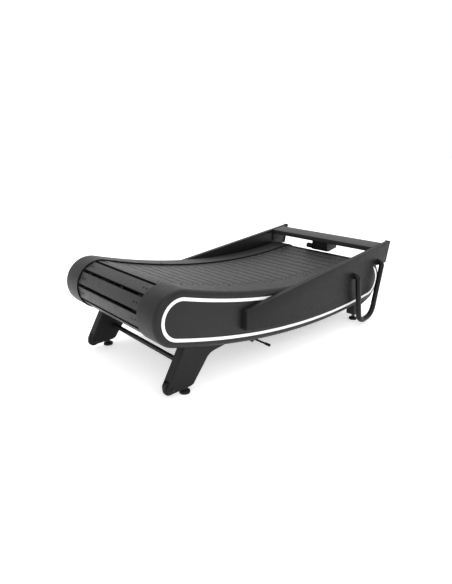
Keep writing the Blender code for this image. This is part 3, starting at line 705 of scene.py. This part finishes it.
def make_belt():
    slat_bottom = SLAT_TOP - SLAT_THICK
    neutral = slat_bottom - BELT_THICK / 2
    span = FRONT_ANGLE - REAR_ANGLE
    pitch = (2 * math.pi * neutral + 2 * ARC_RADIUS * span) / SLAT_COUNT
    start = math.radians(FIRST_GAP_DEG) * neutral + pitch / 2
    places = []
    for k in range(SLAT_COUNT):
        (x, z), turn = loop_place(start + k * pitch, neutral)
        places.append(Matrix.Translation((x, 0, z)) @ slat_turn(turn))
    half = (pitch - SLAT_GAP) / 2
    top = SLAT_TOP - neutral
    split = top - TREAD_THICK
    low = slat_bottom - neutral

    tread = block((-half, -SLAT_HALF_LENGTH, split), (half, SLAT_HALF_LENGTH, top))
    round_edges(tread, lambda edge: all(vert.co.z > top - 1e-5 for vert in edge.verts), TREAD_ROUND, 3)
    # the side faces take the second material, the darker rubber that paints the shade in the gaps between
    # slats
    for face in tread.faces:
        if abs(face.normal.x) > TREAD_SIDE_LEAN:
            face.material_index = 1
    treads = piece("slat_treads", scattered(tread, places), TREAD,
                   nodes=("slat_belt",), smooth=40)
    treads.data.materials.append(SHADED_SLAT_SIDES)

    core_half = half - CORE_INSET
    core_length = SLAT_HALF_LENGTH - CORE_INSET
    core = block((-core_half, -core_length, low), (core_half, core_length, split))
    piece("slat_cores", scattered(core, places), CORE)

    screws = []
    for place in places:
        for y in SLAT_SCREWS_Y:
            screws += [place @ Matrix.Translation((0, side * y, top)) for side in (-1, 1)]
    piece("slat_screws", scattered(socket_screw(*SLAT_SCREW, 18), screws), DARK_STEEL)

    for side, word in SIDES:
        outer = slat_bottom - BELT_CLEAR
        inner = slat_bottom - BELT_THICK
        rings = []
        for offset, inset in ((outer, BELT_CHAMFER), (outer - BELT_CHAMFER, 0),
                              (inner + BELT_CHAMFER, 0), (inner, BELT_CHAMFER)):
            rings.append((offset, BELT_Y[0] + inset, BELT_Y[1] - inset))
        rows = [[(x, side * near, z) for x, z in band(offset)] for offset, near, _ in rings]
        rows += [[(x, side * far, z) for x, z in band(offset)] for offset, _, far in reversed(rings)]
        piece("drive_belt_" + word, closed_loft(rows), BELT_RUBBER)


def closed_loft(rings):
    """A skin through rings that come back to the first one, as on a ring-shaped bar."""
    bm = bmesh.new()
    rows = [[bm.verts.new(point) for point in ring] for ring in rings]
    for first, second in zip(rows, rows[1:] + rows[:1]):
        bridge(bm, first, second)
    bmesh.ops.recalc_face_normals(bm, faces=bm.faces)
    return bm


# ---- side covers and their white line ----

def cover_rings(outer, radius, steps):
    """Rings of a side cover's rounded outer edge, as (y, distance from the centreline)."""
    rings = []
    for k in range(steps + 1):
        angle = math.radians(90) * k / steps
        reach = HOUSING_ROUND * (1 - math.cos(angle))
        rings.append((outer - HOUSING_ROUND * (1 - math.sin(angle)), radius - reach))
    return rings


def make_housing(side, word):
    """Racetrack tray: rounded outer edge, a small rolled lip at the open side."""
    rings = [(HOUSING_INNER, HOUSING_RADIUS - HOUSING_LIP), (HOUSING_INNER + HOUSING_LIP, HOUSING_RADIUS)]
    rings += cover_rings(HOUSING_OUTER, HOUSING_RADIUS, 8)
    skin = loft([[(x, side * y, z) for x, z in band(offset)] for y, offset in rings], (False, True))
    piece("side_cover_" + word, thick(skin, HOUSING_WALL), SHROUD,
          nodes=("side_housing_" + word,), smooth=30)
    near, far = side * STRIPE_Y[0], side * STRIPE_Y[1]
    edge = far - side * STRIPE_EDGE
    rows = [(STRIPE_OUTER, near), (STRIPE_OUTER, edge), (STRIPE_OUTER - STRIPE_EDGE, far),
            (STRIPE_INNER + STRIPE_EDGE, far), (STRIPE_INNER, edge), (STRIPE_INNER, near)]
    line = closed_loft([[(x, y, z) for x, z in band(offset)] for offset, y in rows])
    piece("white_line_" + word, line, WHITE, nodes=("trim_loop_" + word,))
    screws = []
    screw_y = side * (HOUSING_INNER + COVER_SCREW_INSET)
    for x in COVER_SCREWS_X:
        angle = math.asin((REAR_X + x - ARC.x) / ARC_RADIUS)
        for end in (1, -1):
            px, pz = on_curve(angle, end * HOUSING_RADIUS)
            screws.append(facing((px, screw_y, pz), (-end * math.sin(angle), 0, end * math.cos(angle))))
    piece("cover_screws_" + word, scattered(socket_screw(*COVER_SCREW), screws), BLACK_STEEL)


# ---- wings ----

def wing_outline(inset=0.0):
    """Side view of a wing, counter-clockwise: lower edge along the body, corner, rake, top, rear."""
    steps = 40
    xs = [WING_REAR + inset + (WING_LOW_FRONT - WING_REAR - inset) * k / steps for k in range(steps + 1)]
    points = [(x, height_at(x, WING_LOW_OFFSET + inset)) for x in xs]
    corner = (WING_LOW_FRONT, height_at(WING_LOW_FRONT, WING_LOW_OFFSET) + WING_CORNER)
    sweep = math.radians(WING_CORNER_SWEEP_DEG)
    points += around(corner, WING_CORNER - inset, -math.pi / 2, sweep, 28)[1:]
    rake = inset * 1.1
    points += [(x - rake, z + inset) for x, z in (WING_NOTCH, WING_LOW_TIP)]
    points += [(WING_TIP[0] - rake, WING_TIP[1] - inset), (WING_REAR + inset, wing_top(WING_REAR) - inset)]
    return [from_rear(x, z) for x, z in points]


def make_wing(side, word):
    inner, outer = side * WING_INNER, side * WING_OUTER
    tray = round_edges(plate(wing_outline(), inner, outer), on_plane(outer), WING_ROUND, 4)
    tray = without(tray, lambda face: abs(face.calc_center_median().y - inner) < 1e-5)
    piece("wing_shell_" + word, thick(tray, WING_SHEET), DARK_COAT,
          nodes=("wing_cover_" + word,))
    panel = plate(wing_outline(WING_SHEET + WING_BACK_GAP), inner, inner + side * WING_BACK_THICK)
    round_edges(panel, on_plane(inner), 0.0008, 2)
    piece("wing_back_" + word, panel, DARK_COAT, nodes=("wing_panel_" + word,))

    low, high = Vector(WING_LOW_TIP), Vector(WING_TIP)
    along = (high - low).normalized()
    out = Vector((along.y, -along.x))
    top = high + along * FRONT_BAR_RISE
    corners = [low + out * GAP, low + out * FRONT_BAR_THICK, top + out * FRONT_BAR_THICK, top + out * GAP]
    bar = plate([from_rear(*corner) for corner in corners], side * (WING_INNER - FRONT_BAR_OVERHANG), outer)
    round_edges(bar, sharp, FRONT_BAR_ROUND, 3)
    piece("wing_nose_bar_" + word, bar, DARK_SHROUD, nodes=("wing_front_bar_" + word,))


# ---- crossbar and the unit under it ----

def open_tube(bar, radius, wall):
    """A long bar along Y made into a tube: its long edges are rounded and its ends are open."""
    round_edges(bar, lambda edge: sharp(edge) and spans(edge, "y", 0.1), radius, 4)
    return thick(without(bar, lambda face: abs(face.normal.y) > 0.9), wall)


def make_crossbar():
    inset = CROSSBAR_INSET
    corners = [sloped(CROSSBAR[0], inset), sloped(CROSSBAR[0], CROSSBAR_HEIGHT),
               sloped(CROSSBAR[1], CROSSBAR_HEIGHT), sloped(CROSSBAR[1], inset)]
    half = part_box("crossbar")[1].y
    tube = open_tube(plate(corners, -half, half), 0.003, CROSSBAR_WALL)
    piece("crossbar_tube", tube, COAT, nodes=("crossbar",))
    low_edge = CROSSBAR_HEIGHT + CROSSBAR_PLATE_DROP
    for side, word in SIDES:
        low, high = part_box("crossbar_end_" + word)
        near, far = sorted((low.y, high.y), key=abs)
        outline = [sloped(CROSSBAR[0] + 0.004, inset), sloped(CROSSBAR[0] - 0.012, low_edge),
                   sloped(CROSSBAR[1] - 0.004, low_edge), sloped(CROSSBAR[1] - 0.002, inset)]
        end = plate(outline, near, far)
        round_edges(end, on_plane(near), 0.0015, 2)
        piece("crossbar_plate_" + word, end, DARK_COAT, nodes=("crossbar_end_" + word,))


def make_centre_unit():
    """Box-shaped housing hung under the crossbar, with a ribbed round plug on its left side."""
    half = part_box("centre_unit")[1].y
    drop = CROSSBAR_HEIGHT + GAP
    outline = [from_rear(x, z) for x, z in UNIT_LOW]
    outline += [sloped(CROSSBAR[0] + UNIT_TOP[1], drop), sloped(CROSSBAR[0] + UNIT_TOP[0], drop)]
    unit = round_edges(plate(outline, -half, half), sharp, 0.004, 4)
    piece("centre_unit_shell", unit, DARK_SHROUD, nodes=("centre_unit",))
    low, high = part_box("centre_unit_plug")
    profile = [(0, 0), (0.018, 0), (0.018, 0.0042), (0.0172, 0.005), (0.0166, 0.0054), (0.016, 0.0062)]
    for k in range(PLUG_RIBS):
        z = PLUG_RIB_START + k * PLUG_RIB_PITCH
        profile += [(0.016, z), (0.0153, z + 0.0006), (0.0153, z + 0.0018), (0.016, z + 0.0024)]
    profile += [(0.016, 0.0385), (0.0150, 0.0408), (0.0120, 0.042), (0, 0.042)]
    plug = along_y(turned(profile, 40), ((low.x + high.x) / 2, low.y, (low.z + high.z) / 2))
    piece("centre_unit_knob", plug, RUBBER, nodes=("centre_unit_plug",))


# ---- lifting handles ----

def elbow(top, towards):
    """Out of the wing's face and round a bend into the direction towards."""
    corner = [(top.x, WING_OUTER + HANDLE_ENTRY, top.y)]
    steps = 12
    for k in range(steps + 1):
        angle = math.radians(90) * k / steps
        centre = top + towards * HANDLE_BEND * (1 - math.cos(angle))
        corner.append((centre.x, HANDLE_Y - HANDLE_BEND * (1 - math.sin(angle)), centre.y))
    return corner


def make_handle(side, word):
    rear_top, rear_low, front_top, front_low = (Vector(point) for point in HANDLE_REAR + HANDLE_FRONT)
    bottom_rear, bottom_front = (Vector(point) for point in HANDLE_BOTTOM)
    rear_corner, front_corner = (Vector(point) for point in HANDLE_CORNERS)
    low = quadratic(rear_low, rear_corner, bottom_rear, 14)
    low += quadratic(bottom_front, front_corner, front_low, 16)
    route = elbow(rear_top, (rear_low - rear_top).normalized())
    route += [(point.x, HANDLE_Y, point.y) for point in low]
    route += reversed(elbow(front_top, (front_low - front_top).normalized()))
    route = [(REAR_X + x, side * y, z) for x, y, z in route]
    piece("handle_tube_" + word, swept(route, HANDLE_RADIUS, 28), BAR_COAT,
          nodes=("lift_handle_" + word,), smooth=40)
    radius, thickness = HANDLE_FLANGE
    profile = [(HANDLE_RADIUS, 0), (radius, 0), (radius, thickness - 0.0008), (radius - 0.0008, thickness),
               (HANDLE_RADIUS, thickness)]
    face_y = side * (WING_OUTER + GAP)
    places = [facing((route[end][0], face_y, route[end][2]), (0, side, 0)) for end in (0, -1)]
    flanges = scattered(turned(profile, 40, True), places)
    piece("handle_flanges_" + word, flanges, BAR_COAT)


# ---- legs, wheels and feet ----

def housing_block(side):
    """A side cover as a solid, a little larger, for trimming what stands under it."""
    radius = HOUSING_RADIUS + GAP
    rings = [(HOUSING_BLOCK_INNER, radius)] + cover_rings(HOUSING_OUTER + GAP, radius, 6)
    return loft([[(x, side * y, z) for x, z in band(offset)] for y, offset in rings])


def stand(outline, near, far, lowest_roof):
    """A shell under a side cover: trimmed to its underside, rounded along its edges and open at the top."""
    solid = cut(plate(outline, near, far), housing_block(math.copysign(1, near)))

    def is_roof(face):
        return face.normal.z > 0.55 and face.calc_center_median().z > lowest_roof

    def is_rim(edge):
        flat = on_plane(near)(edge) or on_plane(far)(edge)
        return flat and not any(is_roof(face) for face in edge.link_faces)

    round_edges(solid, is_rim, STAND_ROUND, 4)
    return thick(without(solid, is_roof), LEG_SHEET)


def leg_outline():
    """Side view of a rear leg, from the top front: raked, rounded at the heel and flared at the top."""
    front, rear = LEG_TOP
    top = [(front + 0.010, height_at(front, -HOUSING_RADIUS) + LEG_TOP_OVERLAP),
           (rear, height_at(rear, -HOUSING_RADIUS) + LEG_TOP_OVERLAP)]
    heel = around(HEEL_CENTRE, HEEL_RADIUS, math.radians(HEEL_START_DEG), math.radians(HEEL_SWEEP_DEG), 14)
    heel.append((HEEL_CENTRE[0], HEEL_CENTRE[1] - HEEL_RADIUS))
    toe = quadratic(Vector((0.062, 0.031)), Vector((0.083, 0.031)), Vector((0.091, 0.047)), 6)
    flare = quadratic(Vector((0.156, 0.130)), Vector((0.171, 0.151)), Vector((0.200, 0.155)), 8)
    face = [tuple(point) for point in toe + flare] + [(0.259, 0.162)]
    return [from_rear(x, z) for x, z in top + heel + face]


def make_leg(side, word):
    near, far = side * LEG_Y[0], side * LEG_Y[1]
    middle = (near + far) / 2
    low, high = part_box("transport_wheel_" + word)
    axle = (low + high) / 2
    slot_half = WHEEL_HALF + WHEEL_SLOT[0]
    reach = WHEEL_RADIUS + WHEEL_SLOT[1]
    slot = block((axle.x - WHEEL_SLOT_REACH, middle - slot_half, axle.z - WHEEL_SLOT_REACH),
                 (axle.x + reach, middle + slot_half, axle.z + reach))
    leg = cut(stand(leg_outline(), near, far, LEG_ROOF), slot)
    piece("leg_shell_" + word, leg, DARK_COAT, nodes=("rear_leg_" + word,))
    half = (LEG_Y[1] - LEG_Y[0]) / 2
    heads = [facing((axle.x, middle + end * half, axle.z), (0, end, 0)) for end in (-1, 1)]
    piece("wheel_bolt_" + word, wheel_bolt(axle, middle, half, heads), BLACK_STEEL,
          nodes=("wheel_axle_" + word,))


def wheel_bolt(axle, middle, half, heads):
    """Shaft through the wheel with a hexagon head on one side of the leg and a nut on the other."""
    bm = scattered(hex_bolt(0.0058, 0.0045), heads)
    end, radius = half + 0.0005, WHEEL_SHAFT_RADIUS
    shaft = turned([(0, end), (radius, end), (radius, -end), (0, -end)], 24)
    mesh = as_mesh(along_y(shaft, (axle.x, middle, axle.z)))
    stamp(bm, mesh, Matrix.Identity(4))
    bpy.data.meshes.remove(mesh)
    return bm


def make_wheel(side, word):
    low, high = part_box("transport_wheel_" + word)
    axle = (low + high) / 2
    body = "transport_wheel_" + word + "_body"
    tyre = [(0.0195, 0.0085), (0.0215, WHEEL_HALF), (0.0255, WHEEL_HALF), (0.0285, 0.0085), (0.0298, 0.0055),
            (WHEEL_RADIUS, 0), (0.0298, -0.0055), (0.0285, -0.0085), (0.0255, -WHEEL_HALF),
            (0.0215, -WHEEL_HALF), (0.0195, -0.0085)]
    hub = [(0.0045, 0.012), (0.0085, 0.012), (0.009, 0.0115), (0.009, 0.006), (0.016, 0.005), (0.017, 0.0088),
           (0.0193, 0.0088), (0.0193, -0.0088), (0.017, -0.0088), (0.016, -0.005), (0.009, -0.006),
           (0.009, -0.0115), (0.0085, -0.012), (0.0045, -0.012)]
    piece("wheel_tyre_" + word, along_y(turned(tyre, 56, True), axle), RUBBER, body,
          ("transport_wheel_" + word,), 40)
    piece("wheel_hub_" + word, along_y(turned(hub, 40, True), axle), HUB, body)


def make_foot(name):
    low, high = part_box(name)
    centre = Matrix.Translation(((low.x + high.x) / 2, (low.y + high.y) / 2, 0))
    body = name + "_body"
    pad = [(0, 0), (FOOT_RADIUS - 0.0015, 0), (FOOT_RADIUS - 0.0004, 0.0004), (FOOT_RADIUS, 0.0015),
           (FOOT_RADIUS, 0.0085), (FOOT_RADIUS - 0.0006, 0.0100), (FOOT_RADIUS - 0.002, 0.0110),
           (0.0150, 0.0148), (0.0135, 0.0153), (0, 0.0153)]
    piece(name + "_disc", moved(turned(pad, 48), centre), RUBBER, body, (name,))
    nut = [ring(0.0094, 0.0154, 24), ring(0.0105, 0.0166, 24, True), ring(0.0105, 0.0223, 24, True),
           ring(0.0094, 0.0234, 24)]
    piece(name + "_nut", moved(loft(nut), centre), BLACK_STEEL, body)
    root, crest = THREAD_RADII
    thread = [(0, 0.0236)]
    for k in range(THREAD_TURNS):
        z = THREAD_START + k * THREAD_PITCH
        thread += [(root, z), (crest, z + THREAD_PITCH / 2)]
    thread += [(root, 0.0755), (0.0045, 0.0765), (0, 0.0765)]
    piece(name + "_thread", moved(turned(thread, 20), centre), ZINC, body, (), 20)


def make_bracket(side, word):
    low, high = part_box("front_bracket_" + word)
    middle = (low.y + high.y) / 2
    near, far = middle - BRACKET_HALF, middle + BRACKET_HALF
    low_edge = quadratic(Vector((1.277, 0.050)), Vector((1.279, 0.038)), Vector((1.290, 0.038)), 5)
    low_edge += quadratic(Vector((1.344, 0.038)), Vector((1.353, 0.038)), Vector((1.356, 0.048)), 5)
    outline = [(1.360, 0.124), (1.274, 0.116)] + [tuple(point) for point in low_edge]
    bracket = stand([from_rear(x, z) for x, z in outline], near, far, BRACKET_ROOF)
    piece("foot_bracket_" + word, bracket, DARK_COAT, nodes=("front_bracket_" + word,))
    flange = plate([from_rear(x, z) for x, z in FLANGE_OUTLINE], near, far)
    flange = cut(flange, housing_block(math.copysign(1, near)))
    round_edges(flange, lambda edge: on_plane(near)(edge) or on_plane(far)(edge), 0.0012, 2)
    piece("foot_bracket_flange_" + word, flange, DARK_COAT)


def make_tie():
    low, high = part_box("leg_tie_tube")
    tube = open_tube(block(low, high), 0.0028, 0.002)
    piece("tie_tube", tube, DARK_COAT, nodes=("leg_tie_tube",))


# ---- foot brake ----

def make_brake():
    pivot = Vector(JOINTS["brake_rocker_pivot"]["pos_m"])
    low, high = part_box("brake_lever")
    rod = [(0, low.y), (0.0042, low.y), (0.005, low.y + 0.001), (0.005, high.y - 0.001), (0.0042, high.y),
           (0, high.y)]
    rod = along_y(turned(rod, 32), (pivot.x, 0, pivot.z))
    hub_half = (high.x - low.x) / 2
    hub = [(0.0043, hub_half), (0.0100, hub_half), (0.011, hub_half - 0.001), (0.011, 0.001 - hub_half),
           (0.0100, -hub_half), (0.0043, -hub_half)]
    body = "brake_rocker"
    piece("brake_rod", rod, BAR_COAT, body, ("brake_lever",), 40)
    across = Matrix.Translation(pivot) @ Matrix.Rotation(math.radians(90), 4, "Y")
    piece("brake_hub", moved(turned(hub, 36, True), across), BLACK_STEEL, body, (), 40)

    low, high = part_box("brake_foot_cap")
    cap = [(0, low.y), (0.0052, low.y), (0.0064, low.y + 0.0006), (0.0070, low.y + 0.0018)]
    for k in range(CAP_RIBS):
        y = low.y + 0.006 + k * CAP_RIB_PITCH
        cap += [(0.0070, y), (0.0065, y + 0.0007), (0.0065, y + 0.0015), (0.0070, y + 0.0022)]
    cap += [(0.0070, high.y - 0.0005), (0.0065, high.y), (0.0053, high.y), (0.0053, low.y + 0.004),
            (0, low.y + 0.004)]
    cap = along_y(turned(cap, 36), (pivot.x, 0, pivot.z))
    piece("brake_cap", cap, RUBBER, body, ("brake_foot_cap",), 40)

    low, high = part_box("brake_pad")
    pad = round_edges(block(low, high), sharp, BRAKE_ROUND, 4)
    for x in SHOE_GROOVES_X:
        groove = block((pivot.x + x - 0.001, low.y - 0.01, high.z - 0.003),
                       (pivot.x + x + 0.001, high.y + 0.01, high.z + 0.01))
        pad = cut(pad, groove)
    piece("brake_shoe", pad, RUBBER, body, ("brake_pad",), 40)

    low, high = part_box("brake_bracket")
    fork = block(low, high)
    round_edges(fork, lambda edge: sharp(edge) and spans(edge, "z", 0.02), BRAKE_ROUND, 4)
    round_edges(fork, lambda edge: sharp(edge) and all(vert.co.z < low.z + 1e-4 for vert in edge.verts),
                0.002, 3)
    ear = 0.004
    opening = block((low.x + ear, low.y - 0.02, low.z - 0.02), (high.x - ear, high.y + 0.02, high.z - 0.005))
    bore = moved(turned([(0, 0.04), (0.0043, 0.04), (0.0043, -0.04), (0, -0.04)], 28), across)
    piece("brake_fork", cut(fork, opening, bore), COAT, nodes=("brake_bracket",))

    low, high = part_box("brake_pin")
    half = (high.x - low.x) / 2
    pin = [(0, half), (0.0034, half), (0.004, half - 0.0006), (0.004, half - 0.0014),
           (0.0034, half - 0.0014), (0.0034, half - 0.0024), (0.004, half - 0.0024), (0.004, 0.0006 - half),
           (0.0034, -half), (0, -half)]
    piece("brake_pivot_pin", moved(turned(pin, 32), across), ZINC, nodes=("brake_pin",),
          smooth=40)

    low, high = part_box("brake_spring")
    steps = SPRING_TURNS * 28
    travel = high.x - low.x - 2 * SPRING_WIRE
    coil = []
    for k in range(steps + 1):
        angle = 2 * math.pi * SPRING_TURNS * k / steps
        coil.append((low.x + SPRING_WIRE + travel * k / steps, pivot.y + SPRING_RADIUS * math.cos(angle),
                     pivot.z + SPRING_RADIUS * math.sin(angle)))
    piece("brake_return_spring", swept(coil, SPRING_WIRE, 10), STEEL, nodes=("brake_spring",),
          smooth=60)


# ---- inner pieces that keep their CAD shape ----

def finish_inner_pieces():
    looks = {"cross_member_rear": COAT, "cross_member_middle": COAT, "cross_member_front": COAT,
             "rear_axle": BLACK_STEEL, "front_axle": BLACK_STEEL}
    for _, word in SIDES:
        looks.update({"side_rail_" + word: COAT, "guide_strip_" + word: PALE})
        for end in ("rear", "front"):
            looks.update({end + "_pulley_" + word: ALLOY, end + "_bearing_" + word: STEEL})
    for node, look in looks.items():
        for place in frame["nodes"][node].material_slots:
            place.material = look


# ---- floor, light and camera ----

def make_stage():
    mesh = as_mesh(block((-FLOOR_HALF, -FLOOR_HALF, -0.05), (FLOOR_HALF, FLOOR_HALF, 0)))
    obj = bpy.data.objects.new("studio_floor", mesh)
    bpy.context.scene.collection.objects.link(obj)
    look = Finish("pale_floor", specular=0.2)
    look.color(look.ramp(look.noise(0.6, 2.0), [(0.3, grey(0.90)), (0.7, grey(0.92))]))
    look.rough(look.spread(look.noise(2.0, 2.0), 0.6, 0.7))
    look.shader.inputs["Emission Color"].default_value = (1, 1, 1, 1)
    look.shader.inputs["Emission Strength"].default_value = FLOOR_GLOW
    mesh.materials.append(look.material)

    world = bpy.data.worlds.new("studio")
    bpy.context.scene.world = world
    world.use_nodes = True
    background = world.node_tree.nodes["Background"]
    background.inputs["Color"].default_value = (1, 1, 1, 1)
    background.inputs["Strength"].default_value = WORLD_STRENGTH


def area_light(name, place, size, power):
    data = bpy.data.lights.new(name, "AREA")
    data.shape = "RECTANGLE"
    data.size, data.size_y = size
    data.energy = power
    obj = bpy.data.objects.new(name, data)
    obj.location = place
    obj.rotation_euler = (Vector(LIGHTS_AIM) - Vector(place)).to_track_quat("-Z", "Y").to_euler()
    bpy.context.scene.collection.objects.link(obj)


def make_lights():
    area_light("top_softbox", *TOP_LIGHT)
    area_light("key_softbox", *KEY_LIGHT)


def make_camera():
    data = bpy.data.cameras.new("camera")
    data.sensor_fit = "HORIZONTAL"
    data.sensor_width = CAMERA_SENSOR
    data.lens = CAMERA_LENS
    camera = bpy.data.objects.new("camera", data)
    bpy.context.scene.collection.objects.link(camera)
    pan, tilt, roll = (math.radians(angle) for angle in (CAMERA_PAN_DEG, CAMERA_TILT_DEG, CAMERA_ROLL_DEG))
    look = Vector((math.cos(tilt) * math.cos(pan), math.cos(tilt) * math.sin(pan), -math.sin(tilt)))
    turn = look.to_track_quat("-Z", "Y").to_matrix() @ Matrix.Rotation(roll, 3, "Z")
    camera.matrix_world = Matrix.Translation(CAMERA_PLACE) @ turn.to_4x4()
    bpy.context.scene.camera = camera


# ---- build ----

make_stage()
make_lights()
make_camera()
make_belt()
make_crossbar()
make_centre_unit()
make_tie()
make_brake()
for side, word in SIDES:
    make_housing(side, word)
    make_wing(side, word)
    make_handle(side, word)
    make_leg(side, word)
    make_wheel(side, word)
    make_bracket(side, word)
    make_foot("rear_foot_" + word)
    make_foot("front_foot_" + word)
finish_inner_pieces()
bpy.context.scene.view_settings.view_transform = "Standard"

bpy.context.view_layer.update()
